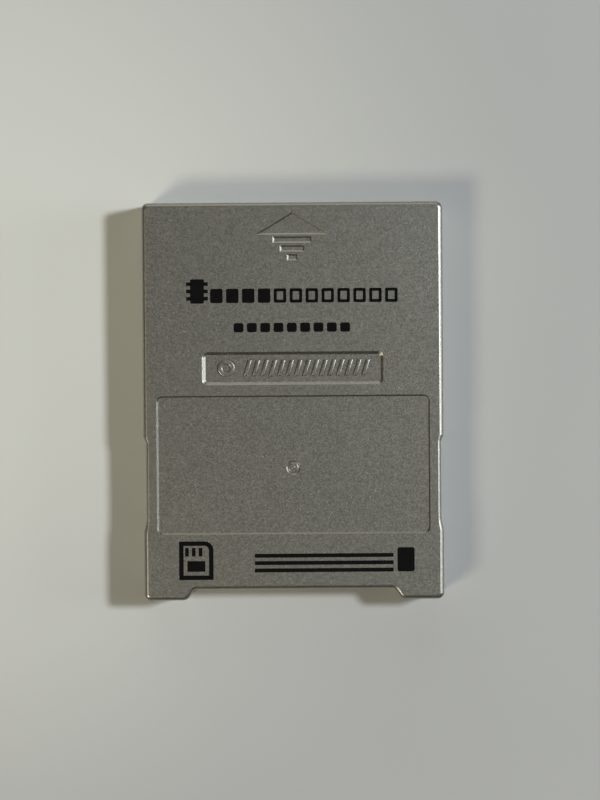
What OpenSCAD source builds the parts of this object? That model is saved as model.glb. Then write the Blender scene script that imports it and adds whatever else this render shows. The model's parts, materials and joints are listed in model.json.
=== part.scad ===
// Memory card for a game console: a flat two-part snap case round a small circuit board.
// The card lies on its rear face. +Z points out of the front face and +Y towards the connector end.
// The origin is at the middle of the rear face.

/* [Case] */
// Width of the case across its two long sides
case_w = 42; // [41:0.5:46]
// Length of the case from the tab ends to the connector end
case_l = 55.6; // [55:0.1:60]
// Thickness of the closed case
case_t = 8; // [8:0.1:9]
// Thickness of the side and end walls
side_wall = 1.3; // [1.2:0.05:1.5]
// Thickness of the front wall
front_wall = 1.4; // [1.2:0.05:1.4]
// Thickness of the rear wall
rear_wall = 1.1; // [1:0.05:1.1]
// Height of the parting plane above the rear face
split_z = 4.1; // [4:0.1:4.5]
// Depth of the V groove along the parting line, half of it in each case half
seam = 0.12; // [0.05:0.01:0.2]
// Plan radius of the two corners at the connector end
corner_r = 0.9; // [0.8:0.1:2]
// Plan radius of the two outer tab corners
tab_r = 0.9; // [0.8:0.1:1.6]
// Plan radius where each tab of the front half turns into the notch
tab_inner_r = 1.1; // [0.8:0.1:1.6]
// Plan radius at the same corner of the rear half, which stands out a little there
rear_tab_inner_r = 0.5; // [0.3:0.1:0.8]
// Radius of the rounded edge round the front face
front_edge_r = 0.65; // [0.3:0.05:0.7]
// Radius of the rounded edge round the rear face
rear_edge_r = 0.5; // [0.3:0.05:0.7]

/* [Grip waist] */
// How far each long side steps in at the waist
waist_depth = 0.35; // [0.2:0.05:0.5]
// How far the edge of the front face steps in there
waist_face_depth = 0.15; // [0.1:0.05:0.2]
// Length of the waist with its two ramps
waist_l = 13.2; // [10:0.2:15]
// Length of the ramp at the near end, towards the tabs
waist_ramp = 1.5; // [1:0.1:2.5]
// Length of the steeper ramp at the far end
waist_far_ramp = 0.8; // [0.7:0.1:2.5]
// Distance from the tab ends to the near end of the waist
waist_from_tabs = 9.7; // [9.2:0.1:11]
// Radius where the near ramp meets a straight side
waist_r = 3; // [1:0.5:4]
// Radius where the far ramp meets a straight side
waist_far_r = 1; // [0.5:0.5:4]

/* [Thumb notch] */
// Width of the notch at its root
notch_w = 28; // [22:0.5:29]
// Depth of the notch between the two tabs
notch_depth = 1.5; // [1.5:0.05:2]
// How much further out each slanted side ends at the mouth
notch_flare = 1; // [0.5:0.1:1.5]
// Radius at the two inner corners of the notch
notch_r = 0.6; // [0.3:0.1:0.8]

/* [Label recess] */
// Width of the shallow recess that takes a sticker
label_w = 38.3; // [30:0.1:38.9]
// Length of the recess along the card
label_l = 19.5; // [15:0.1:20]
// Depth of the recess
label_depth = 0.25; // [0.1:0.05:0.4]
// Corner radius of the recess
label_r = 0.9; // [0.6:0.1:2]
// Width of the sloping wall round the recess
label_wall_w = 0.3; // [0.2:0.02:0.6]
// Distance from the tab ends to the recess
label_from_tabs = 9.2; // [8.8:0.05:10]
// Diameter of the moulding gate's dimple in the recess
gate_d = 2; // [1.5:0.1:3]
// Depth of the dimple under the recess floor
gate_depth = 0.26; // [0.1:0.05:0.3]
// Distance of the dimple from the middle of the recess, towards the tabs
gate_shift = 0.4; // [0:0.1:2]

/* [Name plate recess] */
// Width of the small recess above the label recess
plate_w = 25.4; // [20:0.1:30]
// Length of the small recess along the card
plate_l = 4.7; // [4:0.1:5.5]
// Depth of the small recess
plate_depth = 0.35; // [0.2:0.05:0.45]
// Corner radius of the small recess
plate_r = 0.8; // [0.6:0.1:1.5]
// Width of the sloping wall round the small recess
plate_wall_w = 0.5; // [0.2:0.02:0.6]
// Land between the label recess and the small recess
plate_gap = 1.4; // [1:0.05:1.8]

/* [Insertion arrow] */
// Width of the arrow head across its base
arrow_w = 10.4; // [6:0.1:14]
// Length of the arrow head
arrow_l = 3.1; // [2:0.1:4]
// Distance from the connector end to the arrow's tip
arrow_from_end = 1.4; // [1:0.1:2.5]
// Depth of the arrow and of its three bars
arrow_depth = 0.22; // [0.1:0.02:0.4]
// Width of the sloping walls of the arrow and its bars
arrow_wall_w = 0.22; // [0.05:0.01:0.25]
// Distance from one bar under the arrow head to the next
tail_pitch = 1.23; // [1:0.01:1.4]
// Length of each bar along the card
tail_l = 0.88; // [0.6:0.02:0.9]

/* [Connector slot] */
// Width of each of the three windows in the connector end
cell_w = 10.4; // [10:0.1:11]
// Thickness of the two dividers between the windows
divider_t = 1.2; // [0.8:0.1:1.6]
// Lead-in chamfer round the mouth of each window
lead_in = 0.3; // [0.1:0.05:0.4]
// Distance from one contact pad to the next inside a window
pad_pitch = 3.3; // [3:0.05:3.5]
// Width of a contact pad
pad_w = 2.3; // [1.8:0.1:2.6]
// Length of a contact pad
pad_l = 5.2; // [4:0.1:5.6]
// Thickness of the gold-plated copper pads
pad_t = 0.05; // [0.03:0.01:0.1]

/* [Circuit board] */
// Thickness of the board
board_t = 0.8; // [0.6:0.05:0.8]
// Height of the board's supports above the inside of the rear wall
board_rest = 0.4; // [0.3:0.05:0.4]
// Distance from the connector end face to the board's edge
board_setback = 1.5; // [1.5:0.1:2]
// Clearance between the board and what is beside it
board_gap = 0.3; // [0.2:0.05:0.5]
// Diameter of the four board supports
post_d = 3; // [2.6:0.1:3.4]
// Diameter of the locating pins
pin_d = 1.5; // [1.2:0.1:1.7]
// Clearance round a locating pin, on the diameter
pin_fit = 0.2; // [0.1:0.05:0.3]

/* [Case joint] */
// Height of the lip that stands up into the front half
lip_h = 0.8; // [0.6:0.1:1]
// Thickness of the lip
lip_t = 0.55; // [0.4:0.05:0.6]
// Clearance between the two case halves inside the joint
joint_gap = 0.08; // [0.05:0.01:0.12]
// Width of each snap hook
hook_w = 4; // [3:0.1:4.4]
// Thickness of a snap hook's arm
hook_t = 0.8; // [0.6:0.05:1]
// How far a hook reaches below the parting plane
hook_drop = 2; // [1.8:0.1:2.2]
// How far the hook's nib stands out
hook_nib = 0.4; // [0.3:0.05:0.5]
// Distance between the two hooks on one side
hook_pitch = 31; // [28:0.5:33]

/* [Screw] */
// Outer diameter of the screw's thread
screw_d = 1.7; // [1.4:0.1:2]
// Core diameter of the screw's thread
screw_core_d = 1.3; // [1:0.1:1.3]
// Length of the screw under its head
screw_l = 4; // [3.5:0.1:4.2]
// Distance from one turn of the thread to the next
screw_pitch = 0.5; // [0.4:0.05:0.6]
// Diameter of the screw's head
screw_head_d = 3.4; // [3:0.1:3.8]
// Height of the screw's head
screw_head_h = 1.1; // [0.9:0.1:1.2]
// How deep the head lies under the rear face
screw_sunk = 0.35; // [0.2:0.05:0.4]
// Outer diameter of the boss that the screw goes into
boss_d = 4; // [3.6:0.1:4.4]
// Wall round the sunken screw head, in the pillar that stands up through the board
pillar_wall = 0.8; // [0.6:0.05:1]
// Distance of the screw from the middle of the card, towards the tabs
screw_from_middle = 1.2; // [0.5:0.1:1.6]

/* [Components] */
// Length of the flash memory's body
flash_w = 18.4; // [17:0.1:19]
// Width of the flash memory's body
flash_l = 10.2; // [9:0.1:10.4]
// Side of the controller's square body
controller_w = 10; // [9.5:0.1:10.4]
// Thickness of the moulded chip bodies
chip_t = 1.1; // [0.9:0.05:1.3]
// Gap between the board and the underside of a chip body
chip_standoff = 0.1; // [0.05:0.05:0.2]
// Thickness of the chip leads
lead_t = 0.15; // [0.1:0.01:0.2]

/* [Hidden] */
$fn = 48;

// Colours
paint = [0.47, 0.47, 0.44];
mask_green = [0.05, 0.25, 0.12];
gold = [0.85, 0.65, 0.25];
epoxy = [0.06, 0.06, 0.065];
tin = [0.72, 0.72, 0.72];
zinc = [0.62, 0.62, 0.6];
ceramic_tan = [0.62, 0.5, 0.36];
ceramic_white = [0.86, 0.85, 0.8];

// Largest turn of one step in a rounded corner of an outline, and the steps in one rounded edge
arc_turn = 15;
edge_steps = 7;
// Overshoot of a cut past the face that it opens
cut = 0.5;
// How far a rib, post or wall reaches into the wall that carries it
root = 0.3;

// Places in the case
half_w = case_w / 2;
half_l = case_l / 2;
ceiling_z = case_t - front_wall;
inner_w = half_w - side_wall;
inner_end_y = half_l - side_wall;
waist_low_y = -half_l + waist_from_tabs;
waist_high_y = waist_low_y + waist_l;
least_inner_r = 0.3;
front_r = min(front_edge_r, corner_r - 0.1, tab_r - 0.1);
rear_r = min(rear_edge_r, corner_r - 0.1, tab_r - 0.1);
slot_top_z = ceiling_z - 0.1;

// Places of the board
board_z = rear_wall + board_rest;
board_top_z = board_z + board_t;
board_end_y = half_l - board_setback;
tab_end_gap = 0.5;
board_tab_y = -half_l + notch_depth + side_wall + tab_end_gap;
hook_clearance = 0.1;
board_half_w = inner_w - joint_gap - hook_t - hook_clearance;
pad_inset = 0.25;
slit_past_pads = 0.7;
board_slit_l = pad_l + pad_inset + slit_past_pads;
cross_wall_t = 0.8;
cross_wall_y = board_end_y - board_slit_l - cross_wall_t / 2 - board_gap;
post_side_inset = 1.6;
post_end_inset = 1.4;
post_wall_gap = 0.4;
post_x = board_half_w - post_d / 2 - post_side_inset;
post_ys = [
    cross_wall_y - cross_wall_t / 2 - post_d / 2 - post_wall_gap,
    board_tab_y + post_d / 2 + post_end_inset
];

// Places of the slot: the three windows with their contacts, counted from +X
cell_pitch = cell_w + divider_t;
pads_in_cell = [2, 3, 3];
pad_xs = [
    for (cell = [0 : 2])
        for (i = [0 : pads_in_cell[cell] - 1])
            (1 - cell) * cell_pitch + ((pads_in_cell[cell] - 1) / 2 - i) * pad_pitch
];

// Places of the hooks along the sides
hook_waist_gap = 0.4;
hook_near_y = waist_low_y - hook_w / 2 - hook_waist_gap;
hook_ys = [hook_near_y, hook_near_y + hook_pitch];
hook_low_z = split_z - hook_drop;
hook_nib_h = 0.9;
hook_pocket_room = 0.12;
hook_root_gap = 0.1;
lip_top_z = split_z + lip_h + joint_gap;

// Places of the screw
screw_y = -screw_from_middle;
screw_seat_z = screw_sunk + screw_head_h;
screw_fit = 0.04;
shank_fit = 0.3;
head_fit = 0.5;
seat_floor_t = 1.2;
bore_past_tip = 0.4;
pillar_d = screw_head_d + head_fit + 2 * pillar_wall;
pillar_top_z = screw_seat_z + seat_floor_t;

// Places of the stiffening ribs
front_rib_t = 0.7;
front_rib_h = 0.9;
front_rib_x = inner_w * 0.62;
front_rib_ys = [screw_y - boss_d / 2 - 1.4, board_tab_y + 5.6];
rear_rib_t = 0.8;
rear_rib_x = inner_w * 0.45;
rear_rib_inset = 1;
slot_sill_inset = 1.7;

// Outline work: a corner is [x, y, radius], and an outline runs anticlockwise
function unit(v) = v / norm(v);
function side_normal(a, b) = let (d = unit(b - a)) [-d.y, d.x];
function at(corners, i) = let (c = corners[(i + len(corners)) % len(corners)]) [c.x, c.y];
function inset_by(n1, n2, distance) = (n1 + n2) * distance / (1 + n1 * n2);
function bends_in(n1, n2) = n1.x * n2.y - n1.y * n2.x < 0;
function corner_arc(corner, n1, n2, inset) =
    let (
        concave = bends_in(n1, n2),
        way = concave ? -1 : 1,
        radius = max(corner.z - way * inset, least_inner_r),
        centre = [corner.x, corner.y] + inset_by(n1, n2, inset + way * radius),
        start = atan2(-way * n1.y, -way * n1.x),
        turn = way * acos(min(1, n1 * n2)),
        steps = max(2, ceil(abs(turn) / arc_turn - 0.01))
    )
    [for (i = [0 : steps]) centre + radius * [
        cos(start + turn * i / steps), sin(start + turn * i / steps)]];
function outline(corners, inset = 0) = [
    for (i = [0 : len(corners) - 1])
        let (
            n1 = side_normal(at(corners, i - 1), at(corners, i)),
            n2 = side_normal(at(corners, i), at(corners, i + 1))
        )
        each corner_arc(corners[i], n1, n2, inset)
];

// The plan of the case, from the left tab round the connector end
function case_plan(waist, inner_r) = [
    [-half_w, -half_l, tab_r],
    [-notch_w / 2 - notch_flare, -half_l, inner_r],
    [-notch_w / 2, -half_l + notch_depth, notch_r],
    [notch_w / 2, -half_l + notch_depth, notch_r],
    [notch_w / 2 + notch_flare, -half_l, inner_r],
    [half_w, -half_l, tab_r],
    [half_w, waist_low_y, waist_r],
    [half_w - waist, waist_low_y + waist_ramp, waist_r],
    [half_w - waist, waist_high_y - waist_far_ramp, waist_far_r],
    [half_w, waist_high_y, waist_far_r],
    [half_w, half_l, corner_r],
    [-half_w, half_l, corner_r],
    [-half_w, waist_high_y, waist_far_r],
    [-half_w + waist, waist_high_y - waist_far_ramp, waist_far_r],
    [-half_w + waist, waist_low_y + waist_ramp, waist_r],
    [-half_w, waist_low_y, waist_r]
];
case_corners = case_plan(waist_depth, tab_inner_r);
rear_corners = case_plan(waist_depth, rear_tab_inner_r);

function box_corners(w, l, r, y = 0) = [
    [-w / 2, y - l / 2, r], [w / 2, y - l / 2, r], [w / 2, y + l / 2, r], [-w / 2, y + l / 2, r]
];

function middle(values) = (min(values) + max(values)) / 2;
function hub(ring) = [middle([for (p = ring) p.x]), middle([for (p = ring) p.y])];

// A solid through outlines with the same number of points, each at its own height.
// Its two end faces are fans round the middle of their outline.
module loft(outlines, heights) {
    n = len(outlines[0]);
    last = len(outlines) - 1;
    low_hub = hub(outlines[0]);
    high_hub = hub(outlines[last]);
    points = [
        for (k = [0 : last])
            for (p = outlines[k]) [p.x, p.y, heights[k]],
        [low_hub.x, low_hub.y, heights[0]],
        [high_hub.x, high_hub.y, heights[last]]
    ];
    sides = [
        for (k = [0 : last - 1])
            for (i = [0 : n - 1])
                let (j = (i + 1) % n, low = k * n, high = (k + 1) * n)
                each [[low + i, high + i, high + j], [low + i, high + j, low + j]]
    ];
    ends = [
        for (i = [0 : n - 1])
            let (j = (i + 1) % n, high = last * n)
            each [[i, j, (last + 1) * n], [high + j, high + i, (last + 1) * n + 1]]
    ];
    polyhedron(points = points, faces = concat(sides, ends), convexity = 10);
}

module prism(corners, inset, z0, z1) {
    translate([0, 0, z0])
        linear_extrude(z1 - z0)
            polygon(outline(corners, inset));
}

module block(x0, x1, y0, y1, z0, z1) {
    translate([x0, y0, z0])
        cube([x1 - x0, y1 - y0, z1 - z0]);
}

module rod(d, x, y, z0, z1) {
    translate([x, y, z0])
        cylinder(d = d, h = z1 - z0);
}

// A shallow recess with a soft sloping wall, cut down from the height z
module soft_recess(corners, depth, wall_w, z) {
    shares = [0, 0.15, 0.5, 0.85, 1];
    falls = [0, 0.05, 0.5, 0.95, 1];
    steps = len(shares) - 1;
    loft(
        concat(
            [for (k = [steps : -1 : 0]) outline(corners, wall_w * shares[k])],
            [outline(corners, 0)]
        ),
        concat([for (k = [steps : -1 : 0]) z - depth * falls[k]], [z + cut])
    );
}

// Case halves
function waist_at(share) = waist_depth + (waist_face_depth - waist_depth) * share;

module front_body() {
    turns = [for (k = [1 : edge_steps]) 90 * k / edge_steps];
    loft(
        concat(
            [outline(case_corners, seam), outline(case_corners, 0), outline(case_corners, 0)],
            [
                for (a = turns)
                    let (share = 1 - cos(a))
                    outline(case_plan(waist_at(share), tab_inner_r), front_r * share)
            ]
        ),
        concat(
            [split_z, split_z + seam, case_t - front_r],
            [for (a = turns) case_t - front_r + front_r * sin(a)]
        )
    );
}

module rear_body() {
    turns = [for (k = [edge_steps : -1 : 1]) 90 * k / edge_steps];
    loft(
        concat(
            [for (a = turns) outline(rear_corners, rear_r * (1 - cos(a)))],
            [outline(rear_corners, 0), outline(rear_corners, 0), outline(rear_corners, seam)]
        ),
        concat(
            [for (a = turns) rear_r - rear_r * sin(a)],
            [rear_r, split_z - seam, split_z]
        )
    );
}

// The lip stops short of the connector end, where the windows are
module short_of_slot() {
    intersection() {
        children();
        block(-case_w, case_w, -case_l, cross_wall_y, -cut, case_t + cut);
    }
}

module lip_body() {
    short_of_slot()
        prism(case_corners, side_wall - lip_t, split_z - 0.6, split_z + lip_h);
}

module lip_groove() {
    short_of_slot()
        prism(case_corners, side_wall - lip_t - joint_gap, split_z - cut, lip_top_z);
}

module window_cuts() {
    depth = side_wall + root;
    for (cell = [-1 : 1])
        translate([cell * cell_pitch, half_l, (board_z + slot_top_z) / 2])
            rotate([90, 0, 0])
                loft(
                    [
                        window_ring(lead_in + cut), window_ring(lead_in), window_ring(0), window_ring(0)
                    ],
                    [-cut, 0, lead_in, depth]
                );
}

function window_ring(grow) = let (x = cell_w / 2 + grow, z = (slot_top_z - board_z) / 2 + grow)
    [[-x, -z], [x, -z], [x, z], [-x, z]];

module snap_hook(side) {
    outer_x = inner_w - joint_gap;
    root_z = lip_top_z + hook_root_gap;
    root_x = outer_x + joint_gap + root;
    mirror([side < 0 ? 1 : 0, 0, 0])
        rotate([90, 0, 0])
            translate([0, 0, -hook_w / 2])
                linear_extrude(hook_w)
                    polygon([
                        [outer_x - hook_t, hook_low_z],
                        [outer_x, hook_low_z],
                        [outer_x + hook_nib, hook_low_z + hook_nib_h * 0.7],
                        [outer_x + hook_nib, hook_low_z + hook_nib_h * 0.8],
                        [outer_x, hook_low_z + hook_nib_h],
                        [outer_x, root_z],
                        [root_x, root_z],
                        [root_x, ceiling_z + root],
                        [outer_x - hook_t * 1.4, ceiling_z + root],
                        [outer_x - hook_t, ceiling_z - hook_t * 0.7]
                    ]);
}

module hook_pockets() {
    for (side = [-1, 1])
        for (y = hook_ys)
            mirror([side < 0 ? 1 : 0, 0, 0])
                block(
                    inner_w - cut, inner_w - joint_gap + hook_nib + hook_pocket_room,
                    y - hook_w / 2 - hook_pocket_room, y + hook_w / 2 + hook_pocket_room,
                    hook_low_z, hook_low_z + hook_nib_h + hook_pocket_room
                );
}

module front_ribs() {
    reach = inner_w - waist_depth + root;
    low_z = ceiling_z - front_rib_h;
    for (y = front_rib_ys)
        block(-reach, reach, y - front_rib_t / 2, y + front_rib_t / 2, low_z, ceiling_z + root);
    for (x = [-front_rib_x, front_rib_x])
        block(
            x - front_rib_t / 2, x + front_rib_t / 2,
            min(front_rib_ys), cross_wall_y,
            low_z, ceiling_z + root
        );
}

module slot_partition() {
    y0 = cross_wall_y - cross_wall_t / 2;
    y1 = cross_wall_y + cross_wall_t / 2;
    block(-board_half_w, board_half_w, y0, y1, board_top_z, ceiling_z + root);
    block(-inner_w - root, inner_w + root, y0, y1, lip_top_z + hook_root_gap, ceiling_z + root);
    for (x = [-cell_pitch / 2, cell_pitch / 2])
        block(
            x - divider_t / 2, x + divider_t / 2,
            cross_wall_y, inner_end_y + root,
            split_z, ceiling_z + root
        );
}

module clamp_posts() {
    for (side = [-1, 1])
        for (y = post_ys)
            rod(post_d, side * post_x, y, board_top_z, ceiling_z + root);
}

module clamp_post_bores() {
    for (side = [-1, 1])
        for (y = post_ys)
            rod(pin_d + 2 * pin_fit, side * post_x, y, board_top_z - cut, ceiling_z - 0.4);
}

label_y = -half_l + label_from_tabs + label_l / 2;
plate_y = -half_l + label_from_tabs + label_l + plate_gap + plate_l / 2;

// The gate's mark: a dished dimple round a low raised disc with the pip where the sprue broke off
module gate_dimple() {
    disc_r = gate_d * 0.3;
    pip_r = gate_d * 0.08;
    disc_z = -gate_depth * 0.5;
    pip_z = -gate_depth * 0.15;
    translate([0, label_y - gate_shift, case_t - label_depth])
        rotate_extrude()
            polygon([
                [0, pip_z], [pip_r, pip_z], [pip_r * 1.4, disc_z],
                [disc_r, disc_z], [disc_r * 1.15, -gate_depth], [gate_d * 0.42, -gate_depth],
                [gate_d / 2, 0], [gate_d / 2, label_depth + cut], [0, label_depth + cut]
            ]);
}

module insertion_arrow() {
    tip_y = half_l - arrow_from_end;
    base_y = tip_y - arrow_l;
    tail_gap = (tail_pitch - tail_l) * 0.8;
    head = [[-arrow_w / 2, base_y, 0.05], [arrow_w / 2, base_y, 0.05], [0, tip_y, 0.05]];
    tail_ws = [arrow_w * 0.52, arrow_w * 0.33, arrow_w * 0.14];
    sharp_recess(head, arrow_depth, arrow_wall_w, case_t);
    for (i = [0 : 2])
        sharp_recess(
            box_corners(tail_ws[i], tail_l, 0.05, base_y - tail_gap - tail_l / 2 - i * tail_pitch),
            arrow_depth, arrow_wall_w, case_t
        );
}

// A recess with straight sloping walls and sharp corners
function sharp_outline(corners, inset) = [
    for (i = [0 : len(corners) - 1])
        let (
            n1 = side_normal(at(corners, i - 1), at(corners, i)),
            n2 = side_normal(at(corners, i), at(corners, i + 1))
        )
        at(corners, i) + inset_by(n1, n2, inset)
];

module sharp_recess(corners, depth, wall_w, z) {
    loft(
        [sharp_outline(corners, wall_w), sharp_outline(corners, 0), sharp_outline(corners, 0)],
        [z - depth, z, z + cut]
    );
}

module upper_case() {
    color(paint)
        difference() {
            union() {
                difference() {
                    front_body();
                    prism(case_corners, side_wall, split_z - cut, ceiling_z);
                    lip_groove();
                    soft_recess(box_corners(label_w, label_l, label_r, label_y),
                        label_depth, label_wall_w, case_t);
                    soft_recess(box_corners(plate_w, plate_l, plate_r, plate_y),
                        plate_depth, plate_wall_w, case_t);
                    insertion_arrow();
                    gate_dimple();
                }
                front_ribs();
                slot_partition();
                clamp_posts();
                rod(boss_d, 0, screw_y, pillar_top_z, ceiling_z + root);
                for (side = [-1, 1])
                    for (y = hook_ys)
                        translate([0, y, 0])
                            snap_hook(side);
            }
            window_cuts();
            clamp_post_bores();
            rod(
                screw_d + screw_fit, 0, screw_y,
                pillar_top_z - cut, screw_seat_z + screw_l + bore_past_tip
            );
        }
}

module board_supports() {
    for (side = [-1, 1])
        for (y = post_ys)
            rod(post_d, side * post_x, y, rear_wall - root, board_z);
    for (side = [-1, 1])
        rod(pin_d, side * post_x, post_ys[0], board_z - root, board_top_z + pin_d * 0.55);
    rod(pillar_d, 0, screw_y, rear_wall - root, pillar_top_z);
}

module rear_ribs() {
    reach = board_half_w - rear_rib_inset;
    for (y = [inner_end_y - slot_sill_inset, cross_wall_y])
        block(-reach, reach, y - rear_rib_t / 2, y + rear_rib_t / 2, rear_wall - root, board_z);
    for (x = [-rear_rib_x, rear_rib_x])
        block(
            x - rear_rib_t / 2, x + rear_rib_t / 2,
            board_tab_y + rear_rib_inset, cross_wall_y,
            rear_wall - root, board_z
        );
    for (x = [-cell_pitch / 2, cell_pitch / 2])
        block(
            x - divider_t / 2, x + divider_t / 2,
            board_end_y - board_slit_l + board_gap, inner_end_y + root,
            rear_wall - root, split_z
        );
}

module lower_case() {
    color(paint)
        difference() {
            union() {
                difference() {
                    union() {
                        rear_body();
                        lip_body();
                    }
                    prism(case_corners, side_wall, rear_wall, split_z + lip_h + cut);
                }
                board_supports();
                rear_ribs();
            }
            window_cuts();
            hook_pockets();
            rod(screw_head_d + head_fit, 0, screw_y, -cut, screw_seat_z);
            rod(screw_d + shank_fit, 0, screw_y, screw_seat_z - cut, pillar_top_z + cut);
        }
}

// Screw: a pan head with a cross recess, and a ring-shaped thread
module case_screw() {
    turns = floor((screw_l - 0.9) / screw_pitch);
    core = screw_core_d / 2;
    crest = screw_d / 2;
    head = screw_head_d / 2;
    thread_z = screw_seat_z + screw_l - 0.5 - turns * screw_pitch;
    profile = concat(
        [[0, screw_sunk], [head * 0.72, screw_sunk], [head, screw_sunk + 0.35], [head, screw_seat_z]],
        [[core, screw_seat_z], [core, thread_z]],
        [
            for (i = [0 : turns - 1])
                each [
                    [crest, thread_z + (i + 0.45) * screw_pitch],
                    [crest, thread_z + (i + 0.55) * screw_pitch],
                    [core, thread_z + (i + 1) * screw_pitch]
                ]
        ],
        [[core * 0.4, screw_seat_z + screw_l], [0, screw_seat_z + screw_l]]
    );
    color(zinc)
        translate([0, screw_y, 0])
            difference() {
                rotate_extrude()
                    polygon(profile);
                for (a = [0, 90])
                    rotate([0, 0, a])
                        block(-head * 0.56, head * 0.56, -0.2, 0.2, screw_sunk - cut, screw_sunk + 0.6);
                translate([0, 0, screw_sunk - 0.01])
                    cylinder(r1 = head * 0.34, r2 = 0.1, h = 0.9);
            }
}

// Board with its slits for the dividers, its pin holes and the hole for the screw pillar
module circuit_board() {
    slit = divider_t / 2 + board_gap;
    chamfer = board_t * 0.75;
    slit_root_y = board_end_y - board_slit_l;
    color(mask_green)
        difference() {
            translate([0, 0, board_z])
                linear_extrude(board_t)
                    polygon([
                        [-board_half_w, board_tab_y + chamfer],
                        [-board_half_w + chamfer, board_tab_y],
                        [board_half_w - chamfer, board_tab_y],
                        [board_half_w, board_tab_y + chamfer],
                        [board_half_w, board_end_y - chamfer],
                        [board_half_w - chamfer, board_end_y],
                        [cell_pitch / 2 + slit, board_end_y],
                        [cell_pitch / 2 + slit, slit_root_y],
                        [cell_pitch / 2 - slit, slit_root_y],
                        [cell_pitch / 2 - slit, board_end_y],
                        [-cell_pitch / 2 + slit, board_end_y],
                        [-cell_pitch / 2 + slit, slit_root_y],
                        [-cell_pitch / 2 - slit, slit_root_y],
                        [-cell_pitch / 2 - slit, board_end_y],
                        [-board_half_w + chamfer, board_end_y],
                        [-board_half_w, board_end_y - chamfer]
                    ]);
            for (side = [-1, 1])
                rod(pin_d + pin_fit, side * post_x, post_ys[0], board_z - cut, board_top_z + cut);
            rod(pillar_d + 2 * board_gap, 0, screw_y, board_z - cut, board_top_z + cut);
        }
}

module contact_pad(i) {
    x = pad_xs[i];
    y1 = board_end_y - pad_inset;
    color(gold)
        block(x - pad_w / 2, x + pad_w / 2, y1 - pad_l, y1, board_top_z, board_top_z + pad_t);
}

// Moulded chip body with drafted sides and a pin 1 dimple, standing over the board
module chip_body(w, l, x, y) {
    draft = 0.12;
    z0 = board_top_z + chip_standoff;
    dimple_d = 1;
    dimple_inset = 1.2;
    color(epoxy)
        translate([x, y, z0])
            difference() {
                loft(
                    [for (d = [draft, 0, 0, draft]) sharp_outline(box_corners(w, l, 0), d)],
                    [0, chip_t / 2 - lead_t / 2, chip_t / 2 + lead_t / 2, chip_t]
                );
                translate([-w / 2 + dimple_inset, -l / 2 + dimple_inset, chip_t - 0.1])
                    cylinder(d = dimple_d, h = 0.1 + cut);
            }
}

// One gull-wing lead, which leaves a body's side at x = 0 and steps down to the board
module gull_wing(width, reach) {
    shoulder_z = chip_standoff + chip_t / 2 + lead_t / 2;
    knee = reach * 0.3;
    foot = reach * 0.5;
    translate([0, width / 2, board_top_z])
        rotate([90, 0, 0])
            linear_extrude(width)
                polygon([
                    [0, shoulder_z - lead_t],
                    [knee - lead_t * 0.6, shoulder_z - lead_t],
                    [foot - lead_t * 0.4, 0],
                    [reach, 0],
                    [reach, lead_t],
                    [foot + lead_t * 0.6, lead_t],
                    [knee + lead_t * 0.4, shoulder_z],
                    [0, shoulder_z]
                ]);
}

module lead_row(offsets, width, reach, distance, angle) {
    rotate([0, 0, angle])
        for (y = offsets)
            translate([distance, y, 0])
                gull_wing(width, reach);
}

// Flash memory: twenty leads on each long side, with a gap in the middle of each row
flash_x = 0;
flash_y = (board_tab_y + screw_y - pillar_d / 2) / 2;
flash_lead_pitch = 0.8;
flash_lead_w = 0.35;
flash_lead_reach = 0.8;
flash_leads = [for (i = [-10.5 : 1 : 10.5]) if (abs(i) > 1) i * flash_lead_pitch];

module flash_memory() {
    chip_body(flash_w, flash_l, flash_x, flash_y);
}

module flash_memory_leads() {
    color(tin)
        translate([flash_x, flash_y, 0])
            for (angle = [90, -90])
                lead_row(flash_leads, flash_lead_w, flash_lead_reach, flash_l / 2, angle);
}

// Controller: a square chip with sixteen leads on each side
controller_side_gap = 4.2;
controller_end_gap = 6;
controller_x = -board_half_w + controller_side_gap + controller_w / 2;
controller_y = cross_wall_y - controller_end_gap - controller_w / 2;
controller_lead_pitch = 0.5;
controller_lead_w = 0.22;
controller_lead_reach = 1;
controller_lead_offsets = [for (i = [-7.5 : 1 : 7.5]) i * controller_lead_pitch];

module controller_chip() {
    chip_body(controller_w, controller_w, controller_x, controller_y);
}

module controller_leads() {
    color(tin)
        translate([controller_x, controller_y, 0])
            for (angle = [0 : 90 : 270])
                lead_row(
                    controller_lead_offsets, controller_lead_w, controller_lead_reach,
                    controller_w / 2, angle
                );
}

// Small supply voltage detector: one lead on one side and two on the other
detector_inset = 5.5;
detector_shift = 1.2;
detector_x = board_half_w - detector_inset;
detector_y = controller_y + detector_shift;
detector_w = 2.9;
detector_l = 1.4;
detector_lead_w = 0.4;
detector_lead_reach = 0.55;
detector_lead_x = 0.95;

module voltage_detector() {
    chip_body(detector_w, detector_l, detector_x, detector_y);
}

module voltage_detector_leads() {
    color(tin)
        translate([detector_x, detector_y, 0]) {
            lead_row([0], detector_lead_w, detector_lead_reach, detector_l / 2, 90);
            lead_row(
                [-detector_lead_x, detector_lead_x], detector_lead_w, detector_lead_reach,
                detector_l / 2, -90
            );
        }
}

// A leadless part: a ceramic body between two plated end caps
module chip_part(l, w, h, x, y, angle, tint) {
    cap_l = l * 0.2;
    cap_over = 0.03;
    color(tint)
        translate([x, y, board_top_z])
            rotate([0, 0, angle]) {
                block(-l / 2 + cap_l / 2, l / 2 - cap_l / 2, -w / 2, w / 2, cap_over, h - cap_over);
                for (side = [-1, 1])
                    translate([side * (l / 2 - cap_l / 2), 0, 0])
                        block(-cap_l / 2, cap_l / 2, -w / 2 - cap_over, w / 2 + cap_over, 0, h);
            }
}

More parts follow.
